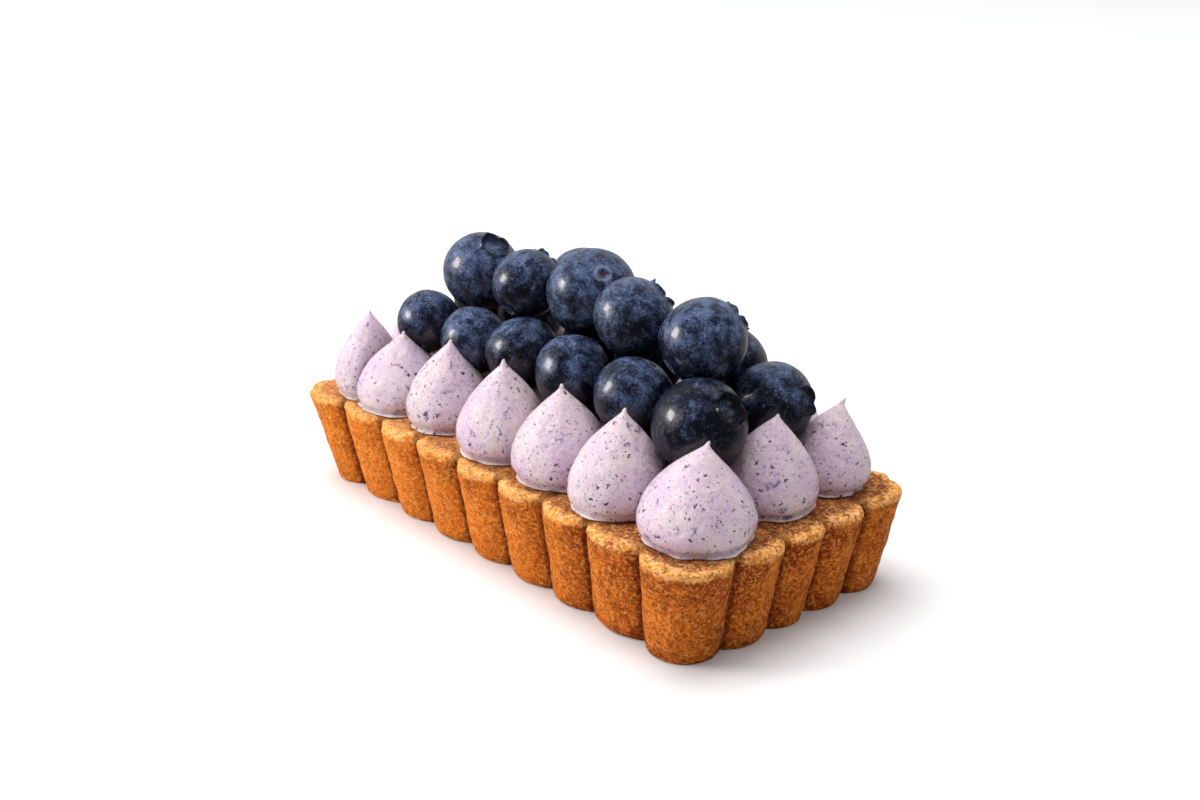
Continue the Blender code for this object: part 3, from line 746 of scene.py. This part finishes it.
def crown_direction(turn_degrees, rise_degrees):
    """The matrix that leans a berry's crown down from straight up and then swings it round."""
    bend = np.radians(90.0 - rise_degrees)
    face = np.radians(turn_degrees)
    lean = np.array(((np.cos(bend), 0.0, np.sin(bend)), (0.0, 1.0, 0.0), (-np.sin(bend), 0.0, np.cos(bend))))
    swing = np.array(((np.cos(face), -np.sin(face), 0.0), (np.sin(face), np.cos(face), 0.0), (0.0, 0.0, 1.0)))
    return swing @ lean


def berry_grid(number):
    """The outline turned round. Round the crown the height gains five flaps, each 1 - |u|^3.5 over its fifth
    of the circle, which also lean outwards and are torn by fine noise. Noise of three sizes makes the berry
    uneven. Its crown is then turned its own way. Also gives the marks: the crown's flaps, the dish inside
    them, the stalk's scar, the pale ring round it, and the dusting of bloom, which grows with the height as
    painted light on the tops."""
    x, y, height, diameter, turn_degrees, rise_degrees, stretch = BERRIES[number]
    radius = diameter / 2.0 * MM
    profile = berry_outline(stretch)
    turn = np.linspace(0.0, 2.0 * np.pi, BERRY_TURN_STEPS, endpoint=False)
    fifth = np.abs(((turn + number * CROWN_SPIN) * CROWN_LOBES / (2.0 * np.pi)) % 1.0 * 2.0 - 1.0)
    around = np.stack((np.cos(turn), np.sin(turn), 0.0 * turn), axis=-1)
    flap = (1.0 - fifth ** 3.5) * (1.0 + 0.55 * blended_noise(around, 0.7, number + 11))
    across = np.broadcast_to(profile[:, :1], (len(profile), len(turn)))
    along = np.broadcast_to(profile[:, 1:], (len(profile), len(turn)))
    upper = along > 0.0
    on_flaps = hump(across, CROWN_RADIUS, 0.055) * upper
    plan = np.stack((across * np.cos(turn), across * np.sin(turn), 0.0 * across), axis=-1)
    torn = blended_noise(plan, 0.09, number + 3)
    along = along + on_flaps * (0.095 * flap - 0.03 + 0.025 * torn)
    across = across + on_flaps * 0.045 * flap
    plan = np.stack((across * np.cos(turn), across * np.sin(turn), along), axis=-1)
    uneven = (0.020 * blended_noise(plan, 0.9, number + 60) + 0.007 * blended_noise(plan, 0.30, number + 80)
              + 0.003 * blended_noise(plan, 0.10, number + 90)) - 0.004
    plan = plan * (1.0 + uneven)[..., None]
    points = plan * radius @ crown_direction(turn_degrees, rise_degrees).T
    marks = {
        "crown": hump(across, CROWN_RADIUS, 0.06) * upper,
        "dish": (1.0 - smooth_step(0.22, 0.27, across)) * upper,
        "scar": (1.0 - smooth_step(0.05, 0.09, across)) * (~upper),
        "ring": hump(across, 0.165, 0.035) * (~upper),
        # The bloom grows with the height as painted light on the tops.
        "bloom_and_painted_top_light": DUSTING[number] + PAINTED_TOP_LIGHT * points[..., 2] / radius,
    }
    return points + np.array((x * MM, y * MM, CRUST_HEIGHT + height * MM)), marks


SKIN_BARE = (0.0020, 0.0026, 0.0080)
SKIN_BLOOM = (0.092, 0.140, 0.275)
SKIN_PALE = (0.180, 0.230, 0.350)
SKIN_DRY = (0.0040, 0.0032, 0.0042)
SCAR = (0.070, 0.024, 0.018)
skin = Finish("bloomed_blueberry_skin")
on_crown = skin.mark("crown")
broad = skin.noise(4.5 * MM, 3.0, 0.65)
mottle = skin.noise(2.2 * MM, 4.0, 0.66, seed=0.21)
dust = skin.noise(0.30 * MM, 3.0, 0.7, seed=0.43)
# The bloom lies in broad patches, mottled and finely rubbed, with thicker flakes and thin scuff lines on it.
# More of it lies towards the tops as painted light from above.
bloom_and_top_light = (broad - 0.70 + skin.mark("bloom_and_painted_top_light") * 0.48).between(0.0, 0.22)
bloom_and_top_light = bloom_and_top_light * (mottle.between(0.40, 0.62) * 0.88 + 0.12) * (dust.between(0.40, 0.58) * 0.70 + 0.30)
colour = skin.mix(bloom_and_top_light, SKIN_BARE, SKIN_BLOOM)
flakes = skin.noise(0.9 * MM, 4.0, 0.75, seed=0.57).between(0.52, 0.60) * dust.between(0.44, 0.54)
colour = skin.mix(flakes * (bloom_and_top_light + 0.20) * 0.75, colour, SKIN_PALE)
dish_bloom = skin.mark("dish") * mottle.between(0.46, 0.60) * dust.between(0.40, 0.60)
colour = skin.mix(dish_bloom * 0.45, colour, SKIN_PALE)
colour = skin.mix(skin.mark("ring") * mottle.between(0.36, 0.56), colour, SKIN_PALE)
scuffs = 1.0 - abs(skin.noise(3.2 * MM, 3.0, 0.7, seed=0.77) - 0.5).between(0.0, 0.008)
scuffs = scuffs * skin.noise(3.0 * MM, 1.0, seed=0.9).between(0.50, 0.60)
colour = skin.mix(scuffs * 0.25, colour, SKIN_PALE)
# The crown's flaps are dry and dark, and the stalk's scar is brown.
colour = skin.mix(on_crown * 0.85, colour, SKIN_DRY)
colour = skin.mix(skin.mark("scar"), colour, SCAR)
roughness = 0.24 + bloom_and_top_light * 0.16 + on_crown * 0.3
# The skin's wax shines where it is seen straight on and is dull at its edge.
sideways = skin.node("ShaderNodeLayerWeight", None, {"Blend": 0.5}, output="Facing")
gloss = (1.0 - sideways.between(0.15, 0.60)) * 0.50
skin_normal = skin.bump(mottle * 0.50 + dust * 0.90 + scuffs * 0.2, 0.08 * MM, 0.8)
skin_material = skin.surface(colour, roughness, skin_normal, Specular_IOR_Level=0.34, Coat_Weight=gloss,
                             Coat_Roughness=0.14)
for number in range(len(BERRIES)):
    berry = closed_piece("blueberry_%02d" % (number + 1), *berry_grid(number))
    berry.data.materials.append(skin_material)
    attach(berry, "root")
    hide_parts("berry_%02d" % (number + 1))

# Table, light and camera.
# A plain white table in a white room, a small soft light low on the left that the berries reflect, a wide one
# overhead and one in front, and the camera close to the near corner of the tart.

TABLE_HALF = 1.2
TABLE_WHITE = (0.750, 0.757, 0.764)
table_mesh = bpy.data.meshes.new("table")
table_mesh.from_pydata([(-TABLE_HALF, -TABLE_HALF, 0.0), (TABLE_HALF, -TABLE_HALF, 0.0),
                        (TABLE_HALF, TABLE_HALF, 0.0), (-TABLE_HALF, TABLE_HALF, 0.0)], [], [(0, 1, 2, 3)])
table = bpy.data.objects.new("table", table_mesh)
bpy.context.scene.collection.objects.link(table)
table.visible_glossy = False
table_mesh.materials.append(Finish("white_table").surface(TABLE_WHITE, 0.75, Specular_IOR_Level=0.2))

CAMERA_TURN = np.radians(48.88)
CAMERA_RISE = np.radians(20.89)
CAMERA_PLACE = (199.9 * MM, -170.0 * MM, 125.4 * MM)
right = np.array((np.cos(CAMERA_TURN), np.sin(CAMERA_TURN), 0.0))
back = np.array((np.sin(CAMERA_TURN) * np.cos(CAMERA_RISE), -np.cos(CAMERA_TURN) * np.cos(CAMERA_RISE),
                 np.sin(CAMERA_RISE)))
up = np.cross(back, right)

camera_data = bpy.data.cameras.new("camera")
camera_data.sensor_width = 36.0
camera_data.lens = 44.6
camera_data.clip_start = 0.01
camera = bpy.data.objects.new("camera", camera_data)
camera.location = CAMERA_PLACE
camera.rotation_euler = (np.pi / 2.0 - CAMERA_RISE, 0.0, CAMERA_TURN)
bpy.context.scene.collection.objects.link(camera)
bpy.context.scene.camera = camera

# The lamps are aimed at a point this far above the table.
AIM_HEIGHT = 20.0 * MM


def soft_light(name, way, distance, side, power, colour=(1.0, 1.0, 1.0), shows=True):
    """A square lamp the given way from the tart, in the camera's right, up and back, facing the tart. Where
    it shows, glossy things reflect it."""
    lamp = bpy.data.lights.new(name, "AREA")
    lamp.shape = "RECTANGLE"
    lamp.size = side
    lamp.size_y = side
    lamp.energy = power
    lamp.color = colour
    way = way[0] * right + way[1] * up + way[2] * back
    way = way / np.linalg.norm(way)
    holder = bpy.data.objects.new(name, lamp)
    holder.location = way * distance + np.array((0.0, 0.0, AIM_HEIGHT))
    holder.rotation_euler = Vector(way).to_track_quat("Z", "Y").to_euler()
    holder.visible_glossy = shows
    bpy.context.scene.collection.objects.link(holder)


soft_light("light_left", (-0.92, 0.31, 0.14), 0.80, 0.27, 5.1, (1.0, 0.945, 0.925))
soft_light("light_overhead", (-0.16, 0.95, 0.24), 3.0, 2.6, 118.0, shows=False)
soft_light("light_front", (0.40, 0.50, 0.76), 3.0, 2.0, 25.0, shows=False)

# The room's light fades from a bright backdrop behind the tart to darkness behind the camera. Where it is
# seen directly, the room is plain white.
BACKDROP = 0.66
DARK_ROOM = 0.07
FADE_START = -0.08
FADE_END = 0.85
world = bpy.data.worlds.new("studio")
world.use_nodes = True
room = Nodes(world.node_tree)
behind_tart = (-np.sin(CAMERA_TURN), np.cos(CAMERA_TURN), 0.0)
sockets = {0: room.node("ShaderNodeTexCoord", output="Generated"), 1: behind_tart}
facing = room.node("ShaderNodeVectorMath", {"operation": "DOT_PRODUCT"}, sockets, output="Value")
sockets = {"Value": facing, "From Min": FADE_START, "From Max": FADE_END, "To Min": DARK_ROOM,
           "To Max": BACKDROP}
fade = room.node("ShaderNodeMapRange", {"interpolation_type": "SMOOTHSTEP"}, sockets)
seen = room.node("ShaderNodeLightPath", output="Is Camera Ray")
background = room.tree.nodes["Background"]
room.give(background.inputs["Color"], (1.0, 1.0, 1.0))
room.give(background.inputs["Strength"], fade.larger(seen))
bpy.context.scene.world = world
bpy.context.scene.view_settings.view_transform = "Standard"
